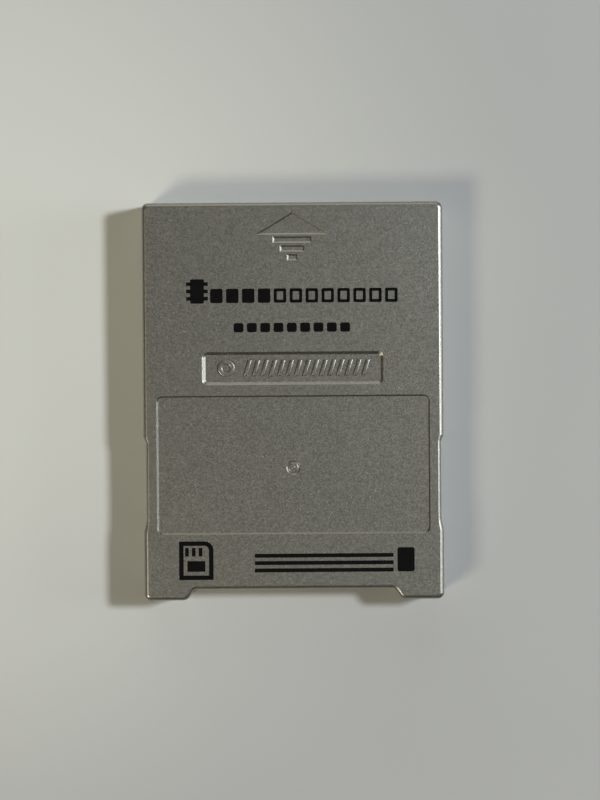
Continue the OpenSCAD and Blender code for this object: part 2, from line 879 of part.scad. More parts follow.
small_l = 1.6;
small_w = 0.8;
capacitor_h = 0.75;
resistor_h = 0.5;
column_step = 3;
column_x = controller_x + controller_w / 2 + 3.2;
column_y = controller_y + 1.6;
flash_side_x = flash_w / 2 + 2.2;
flash_side_y = flash_y + 3;
edge_column_x = detector_x + 3.4;
row_step = 2.4;
row_y = cross_wall_y - 2.4;
bulk_l = 3.2;
bulk_w = 1.6;
bulk_h = 1.3;
bulk_step = 2.9;
bulk_post_gap = 0.3;
bulk_x = post_x - post_d / 2 - bulk_post_gap - bulk_l / 2;
bulk_y = detector_y + 3.6;
capacitor_spots = [
    for (i = [1, 0, -1]) [column_x, column_y + i * column_step],
    for (side = [1, -1]) [side * flash_side_x, flash_side_y],
    [edge_column_x, detector_y]
];

module capacitor(i) {
    spot = capacitor_spots[i];
    chip_part(small_l, small_w, capacitor_h, spot.x, spot.y, 90, ceramic_tan);
}

module resistor(i) {
    chip_part(small_l, small_w, resistor_h, (i - 4) * row_step, row_y, 90, epoxy);
}

module bulk_capacitor(i) {
    chip_part(bulk_l, bulk_w, bulk_h, bulk_x, bulk_y + i * bulk_step, 0, ceramic_tan);
}

module fuse() {
    chip_part(small_l, small_w, resistor_h, edge_column_x, bulk_y, 90, ceramic_white);
}

// Ceramic resonator: a flat base under a smaller lid
resonator_w = 4.5;
resonator_l = 2;
resonator_base_h = 0.6;
resonator_lid_h = 0.55;
resonator_lid_inset = 0.2;
resonator_lid_r = 0.6;
resonator_x = detector_x - 1;
resonator_y = detector_y - 4.2;

module resonator() {
    color(ceramic_white)
        translate([resonator_x, resonator_y, board_top_z]) {
            block(
                -resonator_w / 2, resonator_w / 2, -resonator_l / 2, resonator_l / 2,
                0, resonator_base_h
            );
            prism(
                box_corners(resonator_w, resonator_l, resonator_lid_r), resonator_lid_inset,
                resonator_base_h - lead_t, resonator_base_h + resonator_lid_h
            );
        }
}

upper_case();
lower_case();
case_screw();
circuit_board();
for (i = [0 : 7])
    contact_pad(i);
flash_memory();
flash_memory_leads();
controller_chip();
controller_leads();
resonator();
voltage_detector();
voltage_detector_leads();
fuse();
for (i = [0 : 1])
    bulk_capacitor(i);
for (i = [0 : 5])
    capacitor(i);
for (i = [0 : 5])
    resistor(i);
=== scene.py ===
# %% [markdown]
# # A memory card on a pale table
# The card is a flat moulded case, 42 mm wide and 8 mm thick, sprayed with a silver flake paint and
# printed in black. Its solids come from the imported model, exactly where they belong. This lesson dresses
# them: it softens the case, models the small raised and printed shapes, and mixes the finishes.

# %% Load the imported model
import json
import math

import bmesh
import bpy
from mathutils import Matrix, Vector


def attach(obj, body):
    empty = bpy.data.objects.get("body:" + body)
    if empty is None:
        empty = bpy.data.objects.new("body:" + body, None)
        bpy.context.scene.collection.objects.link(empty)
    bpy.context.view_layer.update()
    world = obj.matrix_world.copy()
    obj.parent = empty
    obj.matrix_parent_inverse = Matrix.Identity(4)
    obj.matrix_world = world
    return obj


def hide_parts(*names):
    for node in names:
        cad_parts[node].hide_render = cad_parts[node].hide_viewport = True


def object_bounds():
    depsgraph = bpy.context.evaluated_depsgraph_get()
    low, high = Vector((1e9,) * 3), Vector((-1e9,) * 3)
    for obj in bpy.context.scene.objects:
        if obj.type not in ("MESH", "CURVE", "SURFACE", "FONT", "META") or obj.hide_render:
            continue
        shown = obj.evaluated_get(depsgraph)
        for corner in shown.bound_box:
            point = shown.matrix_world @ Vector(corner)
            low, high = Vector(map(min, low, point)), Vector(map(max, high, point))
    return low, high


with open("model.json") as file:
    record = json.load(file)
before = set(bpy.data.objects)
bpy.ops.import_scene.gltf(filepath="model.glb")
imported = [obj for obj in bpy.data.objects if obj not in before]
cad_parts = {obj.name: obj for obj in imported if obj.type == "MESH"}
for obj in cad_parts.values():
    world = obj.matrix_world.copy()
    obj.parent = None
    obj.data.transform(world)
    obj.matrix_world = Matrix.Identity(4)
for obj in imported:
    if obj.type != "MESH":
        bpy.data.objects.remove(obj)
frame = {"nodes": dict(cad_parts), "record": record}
cad_box = [list(corner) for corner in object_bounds()]
MM = 0.001
print("nodes:", len(frame["nodes"]), "box in mm:", [[round(v / MM, 2) for v in c] for c in cad_box])


# %% [markdown]
# An operator in Blender acts on everything that is selected, and the freshly loaded nodes are selected.
# So each modelling step starts from an empty selection with one active object. Faces and edges are then
# picked in code, by where they are, because there is no mouse to click with.

# %% Small modelling helpers
PICK_MODES = {"faces": "FACE", "edges": "EDGE", "verts": "VERT"}
WEIGHT_BY_AREA = 100  # the modifier's highest value: the largest face decides the shading


def only(obj):
    """Selects obj alone and makes it the active object."""
    bpy.ops.object.select_all(action="DESELECT")
    obj.select_set(True)
    bpy.context.view_layer.objects.active = obj
    return obj


def name_it(name):
    """Names the active object and its mesh, and leaves it selected alone."""
    obj = bpy.context.active_object
    obj.name = name
    obj.data.name = name
    return only(obj)


def pick(obj, kind, test):
    """Selects the faces, edges or points of obj whose middle passes the test, in edit mode."""
    bpy.ops.mesh.select_mode(type=PICK_MODES[kind])
    bpy.ops.mesh.select_all(action="DESELECT")
    mesh = bmesh.from_edit_mesh(obj.data)
    count = 0
    for part in getattr(mesh, kind):
        if kind == "verts":
            chosen = test(part.co, part)
        elif kind == "faces":
            chosen = test(part.calc_center_median(), part)
        else:
            chosen = test((part.verts[0].co + part.verts[1].co) / 2, part)
        part.select_set(bool(chosen))
        count += bool(chosen)
    mesh.select_flush_mode()
    bmesh.update_edit_mesh(obj.data)
    return count


def settle(obj):
    """Puts the object's place into its mesh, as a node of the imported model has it."""
    only(obj)
    bpy.ops.object.transform_apply(location=True, rotation=True, scale=True)
    return obj


def bevel(obj, width, segments, angle):
    """Rounds the edges that are sharper than the angle."""
    only(obj)
    soften = obj.modifiers.new("soften", "BEVEL")
    soften.width = width
    soften.segments = segments
    soften.limit_method = "ANGLE"
    soften.angle_limit = math.radians(angle)
    bpy.ops.object.modifier_apply(modifier=soften.name)


def smooth(obj, angle):
    """Smooth shading that keeps hard edges hard and wide flat faces flat."""
    only(obj)
    bpy.ops.object.shade_smooth_by_angle(angle=math.radians(angle))
    weigh = obj.modifiers.new("weigh", "WEIGHTED_NORMAL")
    weigh.keep_sharp = True
    weigh.weight = WEIGHT_BY_AREA
    bpy.ops.object.modifier_apply(modifier=weigh.name)


def merge(objects, name):
    """Joins the objects into one, under the name given."""
    bpy.ops.object.select_all(action="DESELECT")
    for obj in objects:
        obj.select_set(True)
    bpy.context.view_layer.objects.active = objects[0]
    bpy.ops.object.join()
    return name_it(name)


def copy_of(obj):
    """A copy of obj with its own mesh."""
    only(obj)
    bpy.ops.object.duplicate(linked=False)
    return bpy.context.active_object


print("ways to pick:", ", ".join(PICK_MODES))


# %% [markdown]
# The camera comes first, because it decides what has to look right. The photograph is taken by hand from
# about 40 cm above the card and nearly straight down, so the card is turned by less than half a degree and
# the camera leans by a degree and a half. The middle of the card isn't the middle of the picture, so the
# camera is aimed at a point beside it. The lens follows from the size of a pixel on the card's face.

# %% Camera over the card
PICTURE_W, PICTURE_H = 600, 800  # pixels
FACE_Z = cad_box[1][2]
CAMERA_HEIGHT = 400 * MM
PIXEL_ON_FACE = 0.1397 * MM
CARD_CENTRE_PX = (292.5, 401.4)
CARD_TURN = math.radians(0.41)
CAMERA_TILT = math.radians(1.6)


def add_camera():
    """A camera nearly straight above, aimed so that the card falls on its place in the picture."""
    bpy.ops.object.camera_add()
    camera = bpy.context.active_object
    camera.name = "camera"
    camera.data.sensor_fit = "VERTICAL"
    camera.data.angle = 2 * math.atan(PICTURE_H / 2 * PIXEL_ON_FACE / CAMERA_HEIGHT)
    aim = Vector((
        (PICTURE_W / 2 - CARD_CENTRE_PX[0]) * PIXEL_ON_FACE,
        (CARD_CENTRE_PX[1] - PICTURE_H / 2) * PIXEL_ON_FACE,
        FACE_Z,
    ))
    back = Vector((0, math.sin(CAMERA_TILT), math.cos(CAMERA_TILT)))
    camera.location = aim + back * CAMERA_HEIGHT
    camera.rotation_euler = (-CAMERA_TILT, 0, -CARD_TURN)
    camera.data.dof.use_dof = False
    bpy.context.scene.camera = camera
    return camera


camera = add_camera()
print("vertical angle of view in degrees:", round(math.degrees(camera.data.angle), 2))

# %% [markdown]
# A finish that is worked out from numbers, with no picture behind it, is a net of shader nodes. Written
# by hand, such a net is long and hard to read. A small class wraps one output socket and lets ordinary
# Python arithmetic add the Math nodes, so that a line of shader maths looks like what it computes.


# %% A short way to write shader maths
class Net:
    """One material's node tree, and the one method that adds any node to it."""

    def __init__(self, name):
        self.material = bpy.data.materials.new(name)
        self.material.use_nodes = True
        self.tree = self.material.node_tree
        self.tree.nodes.clear()

    def node(self, kind, settings=None, out=0, **sockets):
        """Adds a node. A socket is given by its name, or as i and its number where names repeat."""
        made = self.tree.nodes.new(kind)
        for key, value in (settings or {}).items():
            setattr(made, key, value)
        for key, value in sockets.items():
            by_number = key[0] == "i" and key[1:].isdigit()
            self.feed(made.inputs[int(key[1:]) if by_number else key.replace("_", " ")], value)
        return Value(self, made.outputs[out]), made

    def feed(self, socket, value):
        """Links a Value to the socket, and writes a plain number or colour into it."""
        if isinstance(value, Value):
            self.tree.links.new(value.socket, socket)
        else:
            socket.default_value = value

    def place(self):
        """Object coordinates: where a point is on the card, in metres."""
        return self.node("ShaderNodeTexCoord", out="Object")[0]

    def surface(self, shader):
        """Ends the tree with the shader, and gives the finished material."""
        output = self.tree.nodes.new("ShaderNodeOutputMaterial")
        self.tree.links.new(shader.socket, output.inputs["Surface"])
        return self.material


class Value:
    """An output socket with arithmetic."""

    def __init__(self, net, socket):
        self.net = net
        self.socket = socket

    def maths(self, operation, other=0.0, flip=False):
        first, second = (other, self) if flip else (self, other)
        return self.net.node("ShaderNodeMath", {"operation": operation}, i0=first, i1=second)[0]

    def __add__(self, other):
        return self.maths("ADD", other)

    def __sub__(self, other):
        return self.maths("SUBTRACT", other)

    def __mul__(self, other):
        return self.maths("MULTIPLY", other)

    def __rsub__(self, other):
        return self.maths("SUBTRACT", other, flip=True)

    __radd__ = __add__
    __rmul__ = __mul__

    def between(self, low, high):
        """0 below low, 1 above high, and a smooth step between them."""
        return self.net.node(
            "ShaderNodeMapRange", {"interpolation_type": "SMOOTHSTEP"},
            Value=self, From_Min=low, From_Max=high, To_Min=0.0, To_Max=1.0)[0]

    def tint(self, dark, light):
        """A colour between two colours, with this value as the share of the second."""
        return self.net.node(
            "ShaderNodeMix", {"data_type": "RGBA", "clamp_factor": True}, out=2,
            i0=self, i6=dark, i7=light)[0]


def noise(net, size, detail=2.0, roughness=0.5):
    """Soft noise between about 0.3 and 0.7 whose blobs are about the given size in metres."""
    return net.node(
        "ShaderNodeTexNoise", Vector=net.place(), Scale=1 / size, Detail=detail, Roughness=roughness)[0]


def cells(net, size):
    """Random cells of the given size. Gives the cell's random number and the distance to its middle."""
    distance, made = net.node("ShaderNodeTexVoronoi", Vector=net.place(), Scale=1 / size)
    number = net.node("ShaderNodeSeparateColor", Color=Value(net, made.outputs["Color"]))[0]
    return number, distance


def bump(net, height, strength, depth):
    """A relief for the Normal socket. The depth is in metres."""
    return net.node("ShaderNodeBump", Height=height, Strength=strength, Distance=depth)[0]


def grey(level, warmth=0.0):
    """A grey colour, or a slightly warm one."""
    return (level * (1 + warmth), level, level * (1 - warmth), 1)


print("shader maths is ready")


# %% [markdown]
# ## Silver flake paint
# The case is sprayed. The paint holds aluminium flakes that lie nearly flat in a clear binder and look
# one or two tenths of a millimetre wide, so the face is an even warm grey with a fine grain, a few flakes
# catch a lamp and a few gaps look dark. One way to make this is a bump alone, but at this distance a flake
# is about as large as a pixel, so its shade matters more than its slope. Here every flake is a cell with
# its own shade and its own gloss, over a fine cloud and a soft mottle left by the spray gun. A second,
# sparser net of cells paints glints into the colour: a few flakes get a near white colour whatever the
# lamps do, a painted glint. The cloud also makes a very low bump.

# %% Paint of the case
FLAKE, CLOUD, MOTTLE = 0.16 * MM, 0.5 * MM, 5 * MM
FLAKE_SHARE, CLOUD_SHARE, MOTTLE_SHARE, SHADE_SHIFT = 0.36, 0.26, 0.4, 0.02
GLINT_SPACING, GLINT_SHARE, GLINT_RARITY = FLAKE * 1.4, 0.5, 0.84
GLINT_CORE, GLINT_RIM = 0.1, 0.5
PAINT_DARK = (0.285, 0.277, 0.238, 1)
PAINT_LIGHT = (0.362, 0.353, 0.31, 1)
PAINTED_GLINT_COLOUR = (0.85, 0.85, 0.82, 1)


def flake_paint():
    """Silver paint: flakes with their own shade and gloss, and a few with a painted glint in their colour.
    """
    net = Net("flake_paint")
    flake, _ = cells(net, FLAKE)
    spark, middle = cells(net, GLINT_SPACING)
    mottle = noise(net, MOTTLE, detail=3.0)
    cloud = noise(net, CLOUD, detail=3.0)
    shade = flake * FLAKE_SHARE + cloud * CLOUD_SHARE + mottle * MOTTLE_SHARE - SHADE_SHIFT
    colour = shade.tint(PAINT_DARK, PAINT_LIGHT)
    # painted glint: a few flakes are mixed towards a near white colour, the same under any lamp
    painted_glint = spark.between(GLINT_RARITY, 1.0) * (1 - middle.between(GLINT_CORE, GLINT_RIM))
    colour = net.node(
        "ShaderNodeMix", {"data_type": "RGBA"}, out=2,
        i0=painted_glint * GLINT_SHARE, i6=colour, i7=PAINTED_GLINT_COLOUR)[0]
    tilt = bump(net, cloud, 0.15, 0.02 * MM)
    shader = net.node(
        "ShaderNodeBsdfPrincipled",
        Base_Color=colour, Metallic=0.95, Roughness=0.34 + flake * 0.08,
        Normal=tilt, Coat_Weight=0.3, Coat_Roughness=0.12)[0]
    return net.surface(shader)


paint = flake_paint()
print("nodes in the paint:", len(paint.node_tree.nodes))

# %% [markdown]
# ## The other finishes
# The black print is screen printed: a thin dense ink, a little duller than the paint. The rest is inside
# the case and shows only through the slot: a green solder mask with the weave of the glass cloth faintly
# under it, gold plated contacts with fine wiping marks, black moulded chips, dull tin leads, tan and white
# ceramics and a zinc plated screw. Each one has the grain that its way of making leaves.


# %% Finishes of the small pieces
MARK_W, MARK_STRETCH, TARNISH = 0.05 * MM, 14.0, 1.5 * MM
YARN, MASK_PATCH = 2.4 * MM, 3 * MM
MASK_DARK, MASK_LIGHT = (0.006, 0.055, 0.022, 1), (0.016, 0.14, 0.06, 1)


def plain_finish(name, dark, light, grain, roughness, shine=0.5, relief=0.3, depth=0.01 * MM):
    """A finish with soft patches, a fine grain and a matching bump."""
    net = Net(name)
    patch = noise(net, grain * 8)
    dust = noise(net, grain, detail=3.0, roughness=0.7)
    share = (patch * 0.5 + dust * 0.8 - 0.15).between(0.2, 0.8)
    shader = net.node(
        "ShaderNodeBsdfPrincipled",
        Base_Color=share.tint(dark, light), Specular_IOR_Level=shine, Roughness=roughness + dust * 0.12,
        Normal=bump(net, dust, relief, depth))[0]
    return net.surface(shader)


def brushed_finish(name, dark, light, roughness):
    """Metal with fine marks along Y, the way that the card is pushed into its slot."""
    net = Net(name)
    drawn = net.node(
        "ShaderNodeMapping", Vector=net.place(), Scale=(1.0, 1.0 / MARK_STRETCH, 1.0))[0]
    marks = net.node("ShaderNodeTexNoise", Vector=drawn, Scale=1 / MARK_W, Detail=3.0)[0]
    tarnish = noise(net, TARNISH)
    shader = net.node(
        "ShaderNodeBsdfPrincipled",
        Base_Color=(marks * 0.6 + tarnish * 0.4).tint(dark, light), Metallic=1.0,
        Roughness=roughness + marks * 0.18, Normal=bump(net, marks, 0.25, 0.006 * MM))[0]
    return net.surface(shader)


def woven_board():
    """Green solder mask over glass cloth."""
    net = Net("solder_mask")
    across, along = (
        net.node(
            "ShaderNodeTexWave", {"bands_direction": way},
            Vector=net.place(), Scale=1 / YARN, Distortion=0.3)[0]
        for way in ("X", "Y"))
    weave = across * along
    patch = noise(net, MASK_PATCH)
    colour = (weave * 0.35 + patch * 0.7).tint(MASK_DARK, MASK_LIGHT)
    shader = net.node(
        "ShaderNodeBsdfPrincipled",
        Base_Color=colour, Roughness=0.26 + patch * 0.15,
        Normal=bump(net, weave, 0.3, 0.01 * MM), Coat_Weight=0.4, Coat_Roughness=0.1)[0]
    return net.surface(shader)


ink = plain_finish(
    "screen_ink", grey(0.002), grey(0.005), 0.12 * MM, 0.5, shine=0.05, relief=0.25, depth=0.006 * MM)
mask = woven_board()
gold = brushed_finish("gold_plate", (0.62, 0.4, 0.12, 1), (0.95, 0.7, 0.28, 1), 0.16)
tin = brushed_finish("dull_tin", grey(0.42), grey(0.66), 0.3)
zinc = brushed_finish("zinc_plate", grey(0.38, 0.02), grey(0.6, 0.02), 0.24)
epoxy = plain_finish("chip_epoxy", grey(0.012), grey(0.026), 0.07 * MM, 0.5, relief=0.5)
white_ceramic = plain_finish("white_ceramic", grey(0.6, 0.03), grey(0.76, 0.02), 0.1 * MM, 0.45)
tan_ceramic = plain_finish("tan_ceramic", (0.27, 0.17, 0.09, 1), (0.42, 0.29, 0.17, 1), 0.08 * MM, 0.42)
print("finishes:", len(bpy.data.materials))


# %% [markdown]
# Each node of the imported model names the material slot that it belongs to, in the model's record. So the
# finishes are handed out by slot, from one table, and no node is named twice.

# %% Give each piece its finish
FINISHES = {
    "case_paint": paint, "screw_zinc": zinc, "board_mask": mask, "contact_gold": gold,
    "chip_epoxy": epoxy, "lead_tin": tin, "ceramic_white": white_ceramic, "ceramic_tan": tan_ceramic,
}
SLOT_OF = {part["node"]: part["material_slot"] for part in frame["record"]["subparts"]}


def wear(obj, material):
    """Gives obj one material all over."""
    obj.data.materials.clear()
    obj.data.materials.append(material)


for node, obj in frame["nodes"].items():
    wear(obj, FINISHES[SLOT_OF[node]])
print("slots used:", ", ".join(sorted(set(SLOT_OF.values()))))

# %% [markdown]
# ## The two halves of the case
# The halves are right in shape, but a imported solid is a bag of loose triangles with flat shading, and the
# rounded edge all round the card is what catches the lamps. Modelling both halves again would only risk
# their fit. So each half is copied, its triangles are joined, flat areas become single faces, and smooth
# shading is weighted by area: the rounded edges then shade as curves while the wide faces stay flat.
# Paint gathers in the narrowest marks, the arrow with its bars and the gate's dimple, and leaves them
# shallower than they were moulded. So on the copy their points are picked by place and moved up a little.
# The screw is refined in the same way.


# %% Soften the case halves
WELD = 0.002 * MM
FLAT_ANGLE, CREASE_ANGLE = 0.5, 30  # degrees


def refined(node, name, touch_up=None):
    """A copy of a node with joined triangles and smooth shading, which replaces the node."""
    piece = copy_of(frame["nodes"][node])
    for key in [k for k in piece.keys() if k.startswith("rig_")]:  # the copy is a new piece
        del piece[key]
    piece.parent = None
    piece.name = name
    piece.data.name = name
    bpy.ops.object.mode_set(mode="EDIT")
    bpy.ops.mesh.select_all(action="SELECT")
    bpy.ops.mesh.remove_doubles(threshold=WELD)
    bpy.ops.mesh.dissolve_limited(angle_limit=math.radians(FLAT_ANGLE))
    if touch_up:
        touch_up(piece)
    bpy.ops.object.mode_set(mode="OBJECT")
    bpy.ops.mesh.customdata_custom_splitnormals_clear()
    smooth(piece, CREASE_ANGLE)
    wear(piece, FINISHES[SLOT_OF[node]])
    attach(piece, "root")
    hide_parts(node)
    print(name, "faces:", len(piece.data.polygons))


ARROW_DEPTH, ARROW_PAINT, ARROW_NEAR_Y = 0.22 * MM, 0.07 * MM, 15 * MM
LABEL_DEPTH = 0.25 * MM
GATE_Y, GATE_R, GATE_FILL = -9.25 * MM, 1.02 * MM, 0.34
GATE_CREASE = 11  # degrees
LEVEL_SLACK = 0.01 * MM


def fill_narrow_marks(piece):
    """Paint gathers in the arrow, its bars and the gate's dimple, so their walls lean more."""
    floor = FACE_Z - ARROW_DEPTH
    found = pick(piece, "verts", lambda at, _: abs(at.z - floor) < LEVEL_SLACK and at.y > ARROW_NEAR_Y)
    bpy.ops.transform.translate(value=(0, 0, ARROW_PAINT))
    gate = Vector((0, GATE_Y, FACE_Z - LABEL_DEPTH))

    def in_gate(at):
        return (at - gate).length < GATE_R and at.z > FACE_Z - MM

    found += pick(piece, "verts", lambda at, _: in_gate(at))
    bpy.ops.transform.resize(value=(1, 1, GATE_FILL), center_override=gate)
    crease = math.radians(GATE_CREASE)
    pick(piece, "edges", lambda at, edge: in_gate(at) and edge.calc_face_angle(0) > crease)
    bpy.ops.mesh.mark_sharp()
    print("corners moved by the paint:", found)


refined("upper_case", "front_shell", fill_narrow_marks)
refined("lower_case", "rear_shell")
refined("case_screw", "self_tapping_screw")

# %% [markdown]
# ## Raised shapes in the name plate
# The small recess has raised moulded shapes on its floor. Here they are plain: one ring and a row of
# slanted bars. A bar is a block whose far end is pushed sideways, with softened edges, because paint runs
# back from every edge and leaves it round. It is modelled once, and each copy has its own mesh.

# %% Ring and slanted bars
PLATE_DEPTH, PLATE_Y = 0.35 * MM, 4.72 * MM
RELIEF = 0.27 * MM
SUNK = 0.06 * MM
BAR_L, BAR_W, BAR_LEAN = 2.35 * MM, 0.62 * MM, 0.75 * MM
RING_X, RING_R = -9.3 * MM, 1.18 * MM
BARS_FROM, BAR_STEP, BAR_COUNT = -6.3 * MM, 1.18 * MM, 15
BAR_TOP = (0.82, 0.95, 1)
PAINTED_EDGE, PAINTED_STEPS, PAINTED_ANGLE = 0.09 * MM, 3, 30


def slanted_bar():
    """One bar at the origin, as the model for all of them."""
    bpy.ops.mesh.primitive_cube_add(size=1, location=(0, 0, 0))
    bar = name_it("slanted_bar")
    bar.dimensions = (BAR_W, BAR_L, RELIEF + SUNK)
    settle(bar)
    bpy.ops.object.mode_set(mode="EDIT")
    pick(bar, "verts", lambda at, _: at.y > 0)
    bpy.ops.transform.translate(value=(BAR_LEAN, 0, 0))
    pick(bar, "faces", lambda at, face: face.normal.z > 0.9)
    bpy.ops.transform.resize(value=BAR_TOP, center_override=(BAR_LEAN / 2, 0, RELIEF / 2))
    bpy.ops.object.mode_set(mode="OBJECT")
    bevel(bar, PAINTED_EDGE, PAINTED_STEPS, PAINTED_ANGLE)
    return bar


def raised_ring():
    """A cylinder whose ends are inset, with a hole from bridging the two inner faces."""
    bpy.ops.mesh.primitive_cylinder_add(vertices=48, radius=RING_R, depth=RELIEF + SUNK)
    ring = name_it("raised_ring")
    bpy.ops.object.mode_set(mode="EDIT")
    pick(ring, "faces", lambda at, face: abs(face.normal.z) > 0.9)
    bpy.ops.mesh.inset(thickness=BAR_W)
    bpy.ops.mesh.bridge_edge_loops()
    bpy.ops.object.mode_set(mode="OBJECT")
    bevel(ring, PAINTED_EDGE, PAINTED_STEPS, PAINTED_ANGLE)
    return ring


def name_plate_relief():
    """The ring and the row of bars, sunk a little into the floor of the recess."""
    level = FACE_Z - PLATE_DEPTH + (RELIEF - SUNK) / 2
    ring = raised_ring()
    ring.location = (RING_X, PLATE_Y, level)
    parts = [settle(ring)]
    model = slanted_bar()
    for i in range(BAR_COUNT):
        bar = copy_of(model)
        bar.location = (BARS_FROM + i * BAR_STEP - BAR_LEAN / 2, PLATE_Y, level)
        parts.append(settle(bar))
    bpy.data.objects.remove(model)
    return merge(parts, "name_plate_relief")


relief = name_plate_relief()
smooth(relief, CREASE_ANGLE)
wear(relief, paint)
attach(relief, "root")
print("raised shapes, faces:", len(relief.data.polygons))

# %% [markdown]
# ## Black print
# The print is a film of ink a fiftieth of a millimetre thick. It carries plain shapes only: a little chip
# next to a row of storage blocks, a row of dashes, a card with a rounded corner, and three ruled lines
# that end in a block. A flat shape starts as a plane, and its corners are rounded by a bevel of its
# points. An outline comes from insetting the face and deleting the middle. The shapes of one piece are
# joined, and a Solidify modifier gives them the thickness of the film.

# %% Flat shapes for the print
INK = 0.02 * MM
STROKE = 0.42 * MM


def plate(x, y, w, h):
    """A flat rectangle with its middle at x, y."""
    bpy.ops.mesh.primitive_plane_add(size=1, location=(x, y, FACE_Z))
    shape = bpy.context.active_object
    shape.dimensions = (w, h, 0)
    return settle(shape)


def hollow(shape, stroke=STROKE):
    """Leaves only an outline of a flat shape."""
    only(shape)
    bpy.ops.object.mode_set(mode="EDIT")
    bpy.ops.mesh.select_all(action="SELECT")
    bpy.ops.mesh.inset(thickness=stroke)
    bpy.ops.mesh.delete(type="FACE")
    bpy.ops.object.mode_set(mode="OBJECT")
    return shape


def round_off(shape, radius, test=None):
    """Rounds the corners of a flat shape, or only those that pass the test."""
    only(shape)
    bpy.ops.object.mode_set(mode="EDIT")
    pick(shape, "verts", test or (lambda at, _: True))
    bpy.ops.mesh.bevel(affect="VERTICES", offset=radius, segments=4)
    bpy.ops.object.mode_set(mode="OBJECT")
    return shape


def print_piece(shapes, name):
    """Joins flat shapes, gives them the thickness of the ink, and dresses them."""
    piece = merge(shapes, name)
    thick = piece.modifiers.new("film", "SOLIDIFY")
    thick.thickness = INK
    thick.offset = 1  # upwards, away from the face
    bpy.ops.object.modifier_apply(modifier=thick.name)
    wear(piece, ink)
    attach(piece, "root")
    return piece


print("film of ink in mm:", INK / MM, "stroke in mm:", STROKE / MM)

# %% [markdown]
# The heading is the largest print. It shows what the card does: a chip with pins on both sides, and next
# to it twelve storage blocks of which four are filled. All are planes, so they can overlap where a pin
# meets its chip, and they are joined at the end.

# %% The row of storage blocks
HEAD_Y, HEAD_H = 14.8 * MM, 2.0 * MM
CHIP_X, CHIP_Y, CHIP_W, CHIP_H = -13.3 * MM, 15.45 * MM, 2.9 * MM, 3.4 * MM
BLOCKS_FROM, BLOCK_STEP, BLOCK_W = -10.6 * MM, 2.22 * MM, 1.74 * MM
SOLID_BLOCKS, ALL_BLOCKS = 4, 12
CHIP_BODY_W, CHIP_CORNER, BLOCK_CORNER = CHIP_W * 0.66, 0.22 * MM, 0.25 * MM
PIN_FROM_MIDDLE, PIN_STEP, PIN_L, PIN_W = CHIP_W * 0.42, CHIP_H * 0.3, CHIP_W * 0.2, CHIP_H * 0.15


def chip_sign():
    """The chip: a rounded body and three pins on each side."""
    body = round_off(plate(CHIP_X, CHIP_Y, CHIP_BODY_W, CHIP_H), CHIP_CORNER)
    pins = [
        plate(CHIP_X + side * PIN_FROM_MIDDLE, CHIP_Y + row * PIN_STEP, PIN_L, PIN_W)
        for side in (-1, 1) for row in (-1, 0, 1)
    ]
    return [body] + pins


def storage_blocks():
    """The row of blocks, the first ones solid and the others as outlines."""
    shapes = []
    for i in range(ALL_BLOCKS):
        x = BLOCKS_FROM + i * BLOCK_STEP
        block = round_off(plate(x, HEAD_Y, BLOCK_W, HEAD_H), BLOCK_CORNER)
        shapes.append(block if i < SOLID_BLOCKS else hollow(block))
    return shapes


heading_print = print_piece(chip_sign() + storage_blocks(), "heading_print")
print("heading, faces:", len(heading_print.data.polygons))

# %% [markdown]
# Under the heading is a shorter line of nine rounded dashes. The row is counted from its middle, so that
# it stays centred on the card when the number of dashes changes.

# %% The dashes under it
DASH_X, DASH_Y, DASH_H = -0.1 * MM, 10.35 * MM, 1.3 * MM
DASH_STEP, DASH_W, DASHES, DASH_CORNER = 1.86 * MM, 1.38 * MM, 9, 0.3 * MM


def dashes():
    """The row of dashes, each with rounded corners."""
    middle = (DASHES - 1) / 2
    return [
        round_off(plate((i - middle) * DASH_STEP + DASH_X, DASH_Y, DASH_W, DASH_H), DASH_CORNER)
        for i in range(DASHES)
    ]


dash_print = print_piece(dashes(), "dash_print")
print("dashes, faces:", len(dash_print.data.polygons))

# %% [markdown]
# Between the label recess and the tabs stand a small sign of a card and three ruled lines with an end
# block. The card sign is an outline with one large rounded corner. Only that corner passes the test when
# its points are picked.

# %% The card sign, the ruled lines and the end block
SIGN_X, SIGN_Y, SIGN_W, SIGN_H = -13.7 * MM, -22.2 * MM, 4.8 * MM, 5.4 * MM
LINES_X, LINES_Y, LINES_W, LINES_H = 4.2 * MM, -22.6 * MM, 19.4 * MM, 2.6 * MM
LINE_STROKE = STROKE * 1.3
END_X, END_RISE, END_W, END_H, END_CORNER = 15.65 * MM, 0.4 * MM, 2.4 * MM, 3.4 * MM, 0.3 * MM
SIGN_CORNER, SIGN_STROKE = 1.2 * MM, 0.62 * MM
SIGN_LABEL_DROP, SIGN_LABEL_W, SIGN_LABEL_H = 0.8 * MM, 2.5 * MM, 1.5 * MM
SIGN_PAD_X, SIGN_PAD_Y, SIGN_PAD_STEP, SIGN_PAD_W, SIGN_PAD_H = (
    -0.35 * MM, 1.2 * MM, 0.95 * MM, 0.5 * MM, 1.2 * MM)


def card_sign():
    """A card with one rounded corner, its label and three contact pads."""
    outline = plate(SIGN_X, SIGN_Y, SIGN_W, SIGN_H)
    round_off(outline, SIGN_CORNER, lambda at, _: at.x > SIGN_X and at.y > SIGN_Y)
    hollow(outline, SIGN_STROKE)
    label = plate(SIGN_X, SIGN_Y - SIGN_LABEL_DROP, SIGN_LABEL_W, SIGN_LABEL_H)
    pads = [
        plate(SIGN_X + i * SIGN_PAD_STEP + SIGN_PAD_X, SIGN_Y + SIGN_PAD_Y, SIGN_PAD_W, SIGN_PAD_H)
        for i in (-1, 0, 1)
    ]
    return [outline, label] + pads


def ruled_lines():
    """Three lines and the block that ends them."""
    lines = [
        plate(LINES_X, LINES_Y + row * (LINES_H - LINE_STROKE) / 2, LINES_W, LINE_STROKE)
        for row in (-1, 0, 1)
    ]
    end = round_off(plate(END_X, LINES_Y + END_RISE, END_W, END_H), END_CORNER)
    return lines + [end]


